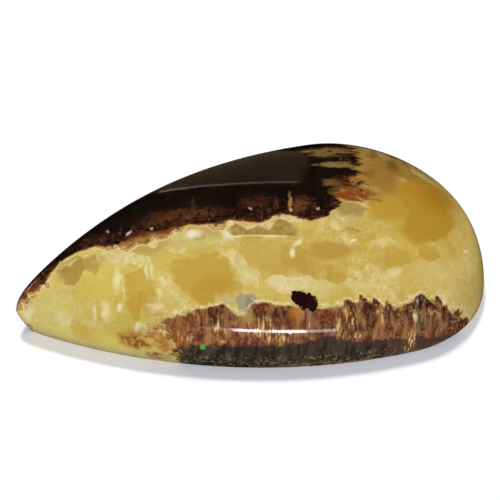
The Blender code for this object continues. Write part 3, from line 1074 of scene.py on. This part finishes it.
# %% Material: golden fibres and sparks
WHITE = (255, 255, 255)
FIBRE_SHAPE = (1.0, 0.22, 0.0)
fibre_place = vector_calc("MULTIPLY", upright, FIBRE_SHAPE)
fibre_place = warped(fibre_place, noise(place, per_mm=1.2)["Color"], 0.2)
fibres = noise(fibre_place, per_mm=5.5, detail=3.0)[0]
GOLD = [
    ("a", (-3.3, -9.6, 4.0), (1.0, 1.5, 0.5)),
    ("b", (-3.2, -10.3, 3.2), (0.7, 1.5, 0.35)),
    ("c", (-2.0, -10.6, 3.0), (0.5, 1.5, 0.45)),
    ("d", (3.7, -11.1, 4.2), (0.5, 1.5, 0.7)),
    ("e", (2.7, -11.5, 3.4), (0.4, 1.5, 0.75)),
    ("f", (4.2, -11.8, 2.9), (0.9, 1.5, 0.22)),
    ("g", (6.1, -11.7, 3.9), (0.28, 1.5, 1.1)),
    ("h", (8.6, -12.5, 1.5), (0.5, 1.5, 1.0)),
    ("i", (10.4, -11.9, 3.6), (0.35, 1.5, 0.3)),
    ("j", (-6.2, -8.9, 3.6), (0.5, 1.5, 0.9)),
    ("k", (-9.0, -7.8, 3.0), (0.7, 1.5, 0.5)),
]
gold_spots = [(name, centre, reach, 0, WHITE, 1.0, 0.5) for name, centre, reach in GOLD]
gold_mask = lay((0.0, 0.0, 0.0, 1.0), bent, gold_spots, uneven)
brown = mix(product(gold_mask, soft_step(fibres, 0.44, 0.54), 0.75), brown, seen(176, 126, 60))
brown = mix(product(gold_mask, soft_step(fibres, 0.54, 0.62), 0.9), brown, seen(230, 204, 148))
SPARKS = [
    ("a", (-6.3, -8.6, 4.1), (0.06, 0.8, 0.32), 0, (232, 228, 190), 0.9, 0.6),
    ("c", (0.5, -10.8, 4.0), (0.06, 0.8, 0.35), 0, (226, 208, 170), 0.9, 0.6),
    ("d", (2.6, -11.3, 3.9), (0.11, 0.8, 0.30), 0, (224, 200, 146), 0.8, 0.8),
    ("e", (3.4, -11.0, 4.6), (0.12, 0.8, 0.28), 0, (222, 192, 130), 0.7, 0.8),
    ("f", (6.2, -11.6, 3.9), (0.07, 0.8, 0.70), 0, (224, 180, 120), 0.8, 0.7),
    ("g", (9.1, -11.8, 3.6), (0.20, 0.8, 0.50), 0, (230, 214, 162), 0.95, 0.5),
    ("h", (9.2, -12.1, 2.6), (0.13, 0.8, 0.55), 0, (122, 120, 92), 0.8, 0.6),
    ("i", (9.4, -11.4, 4.5), (0.12, 0.8, 0.12), 0, (236, 224, 196), 0.9, 0.6),
    ("j", (-1.2, -10.7, 3.6), (0.16, 0.8, 0.16), 0, (232, 212, 160), 0.9, 0.6),
    ("green", (-7.6, -8.8, 2.3), (0.2, 0.8, 0.2), 0, (92, 178, 84), 0.85, 0.4),
]
brown = lay(brown, bent, SPARKS, product(uneven, 1.5))
print("golden fibres in", len(GOLD), "places, sparks:", len(SPARKS))

# %% [markdown]
# Between the dark band and the yellow lies a rim of small dog-tooth crystals. It is orange-brown in
# places, outlined in cream, and khaki in others, with a zigzag upper edge and a straight lower one.
# The same ragged join as before gives it, with longer teeth, and a curve says how wide it is. The
# zigzag is a ping-pong of the way along, because a cell texture has no such even points.

# %% Material: rim of dog-tooth crystals
RIM_WIDTH = [
    (-22, 0.1), (-18, 0.2), (-15, 0.1), (-13, 0.4), (-11.5, 0.9), (-10, 1.2), (-8.5, 1.1), (-7, 0.6),
    (-5.5, 0.3), (-4.3, 0.6), (-3, 0.4), (2, 0.2), (6, 0.1), (22, 0.1),
]
rim_width = curve_of(x, *RANGE, RIM_WIDTH)
dog_teeth = use_group(ragged_join, Place=bent, Distance=into_dark, Tooth_width=1.0, Tooth_depth=0.6)
to_rim = calc("ADD", dog_teeth["Distance"], rim_width)
RIM_TONES = [
    (frosty, 0.36, 0.60, 1.0, (176, 120, 56)),
    (dark_depth, -0.5, 0.0, 0.9, (88, 42, 22)),
    (to_rim, 0.45, 0.25, 0.9, (178, 148, 78)),
]
rim_colour = tinted(seen(110, 58, 26), RIM_TONES)
crisp = soft_step(x, 2.5, 1.0)
line = soft_step(calc("ABSOLUTE", to_rim), 0.16, 0.05)
inner_line = soft_step(calc("ABSOLUTE", calc("SUBTRACT", to_rim, 0.36)), 0.09, 0.02)
line = calc("MAXIMUM", line, product(inner_line, 0.7))
colour = mix(product(soft_step(to_rim, -0.05, 0.12, 0.0, 0.9), crisp), yellow, rim_colour)
colour = mix(product(line, crisp, 0.85), colour, seen(228, 204, 148))
ZIGZAG_WIDTH = 0.9
ZIGZAG_HEIGHT = 0.75
ZIGZAG_GAP = 0.25
LINE_SLOPE = 0.364
LINE_PLACE = 3.98
along = calc("MULTIPLY_ADD", y, -0.34, x)
zigzag = calc("MULTIPLY_ADD", calc("PINGPONG", along, ZIGZAG_WIDTH), ZIGZAG_HEIGHT, ZIGZAG_GAP)
under_zigzag = soft_step(calc("ADD", into_dark, zigzag), 0.04, -0.04)
over_line = soft_step(calc("MULTIPLY_ADD", x, LINE_SLOPE, calc("ADD", y, LINE_PLACE)), 0.0, 0.08)
khaki_span = product(soft_step(x, -3.4, -2.8), soft_step(x, 2.1, 1.5), soft_step(z, 3.0, 5.0))
khaki_tone = mix(soft_step(frosty, 0.35, 0.65), seen(152, 124, 58), seen(180, 154, 86))
over_zigzag = mix(soft_step(frosty, 0.38, 0.60), seen(206, 172, 106), seen(226, 206, 148))
colour = mix(product(over_line, khaki_span), colour, over_zigzag)
colour = mix(product(over_line, under_zigzag, khaki_span), colour, khaki_tone)
print("rim nodes:", len(tree.nodes))

# %% [markdown]
# Then all the parts are joined into one colour, each by its own ragged mask, because one skin of
# polish covers them all. Tan and orange stone lies between the dark band's fingers, so it is laid over
# the dark first and the fingers over it. The brown band comes next, with rust and a pale fringe along
# its edge, and last one black spot that lies on that edge.

# %% Material: joined colours
TAN_PATCHES = [
    ("upper", (9.4, 5.9, 7.6), (2.2, 1.4, 2.0), -18, (158, 124, 74), 0.85, 0.6),
    ("middle", (8.5, 2.9, 8.4), (1.6, 0.62, 2.0), -20, (154, 130, 80), 0.95, 0.4),
    ("lower", (6.9, 0.2, 8.6), (1.0, 0.50, 2.0), -20, (136, 96, 48), 0.9, 0.5),
    ("red", (8.4, -0.5, 8.6), (1.6, 0.80, 2.0), -22, (94, 40, 20), 1.0, 0.3),
    ("orange", (7.8, -1.8, 8.5), (1.3, 0.55, 2.0), -18, (138, 68, 22), 1.0, 0.3),
]
FINGERS = [
    ("long", (8.0, 1.6, 8.5), (2.0, 0.36, 2.0), -19, (22, 14, 12), 0.97, 0.4),
    ("top", (10.0, 4.7, 7.8), (1.0, 0.45, 2.0), -20, (30, 20, 16), 0.9, 0.5),
    ("tip", (9.9, 2.6, 8.4), (0.5, 0.40, 2.0), -20, (28, 18, 14), 0.9, 0.5),
    ("thin", (8.6, -0.2, 8.6), (0.9, 0.12, 2.0), -24, (44, 20, 15), 0.9, 0.5),
]
edge_start = soft_step(x, 5.0, 8.0, -0.08, -0.5)
edge_end = soft_step(x, 5.0, 8.0, 0.12, 0.5)
dark_edge = soft_step(dark_depth, edge_start, edge_end)
colour = mix(dark_edge, colour, dark)
finger_push = calc("MULTIPLY_ADD", fingers, FINGER_REACH / 2.0, product(uneven, 0.6))
TAN_GROUND = [("right", (8.2, -1.2, 8.5), (1.6, 0.95, 2.0), -20, (164, 112, 50), 0.85, 0.5)]
colour = lay(colour, crumpled, TAN_GROUND, finger_push)
colour = lay(colour, crumpled, TAN_PATCHES, finger_push, cover=soft_step(mottle, 0.30, 0.54))
colour = lay(colour, crumpled, FINGERS, finger_push)
brown_edge = soft_step(brown_depth, -0.04, 0.08)
breakup = soft_step(calc("ADD", soft_step(left_end, 0.0, 1.8), mottle), 0.42, 0.75)
rusty = product(
    soft_step(brown_depth, -1.2, 0.3), soft_step(mottle, 0.45, 0.6), soft_step(x, -8.5, -10.0)
)
colour = mix(product(rusty, 0.8), colour, seen(186, 128, 62))
tawny = product(soft_step(left_end, 2.4, 0.3, 0.0, 0.75), soft_step(z, 1.6, 2.4))
brown = mix(tawny, brown, seen(158, 98, 52))
colour = mix(product(brown_edge, breakup), colour, brown)
tooth_tops = product(soft_step(brown_depth, 0.8, 0.2), brown_edge, right_part)
colour = mix(product(tooth_tops, soft_step(grainy, 0.60, 0.46), 0.75), colour, seen(62, 28, 19))
FRINGE_REACH = 0.13
fringe = soft_step(calc("ABSOLUTE", calc("ADD", brown_depth, FRINGE_REACH)), FRINGE_REACH, 0.02)
fringe = product(fringe, soft_step(frosty, 0.40, 0.58, 0.1, 0.8), soft_step(left_end, 0.8, 2.0))
colour = mix(fringe, colour, seen(232, 214, 170))
SPOT = [
    ("main", (0.15, -9.45, 5.7), (0.75, 0.62, 1.5), -24, (34, 13, 13), 1.0, 0.08),
    ("foot", (0.8, -9.95, 5.3), (0.5, 0.5, 0.6), -40, (40, 18, 15), 1.0, 0.1),
    ("crumb", (1.25, -9.7, 5.5), (0.14, 0.16, 0.6), 0, (70, 40, 28), 0.9, 0.3),
]
colour = lay(colour, crumpled, SPOT, product(uneven, 1.6))
feed(shader.inputs["Base Color"], colour)
print("joined nodes:", len(tree.nodes))

# %% [markdown]
# Polished calcite has a hard gloss and glows a little from inside. Real transmission could give the
# depth, but in so milky a stone it would only show as noise. So the surface is smooth, with calcite's
# high refraction, and subsurface scattering carries the light a millimetre or two, red the furthest.
# No bump is added, because the polish has taken every scratch away.

# %% Material: polish
GLOSS_ROUGHNESS = 0.06
REFRACTION = 1.6
GLOW_SHARE = 0.7
GLOW_SPREAD = (1.0, 0.8, 0.5)
GLOW_REACH = 2.5 * MM
shader.inputs["Roughness"].default_value = GLOSS_ROUGHNESS
shader.inputs["IOR"].default_value = REFRACTION
shader.inputs["Subsurface Weight"].default_value = GLOW_SHARE
shader.inputs["Subsurface Radius"].default_value = GLOW_SPREAD
shader.inputs["Subsurface Scale"].default_value = GLOW_REACH
stone_mesh.materials.append(calcite)
print("calcite material:", len(tree.nodes), "nodes")
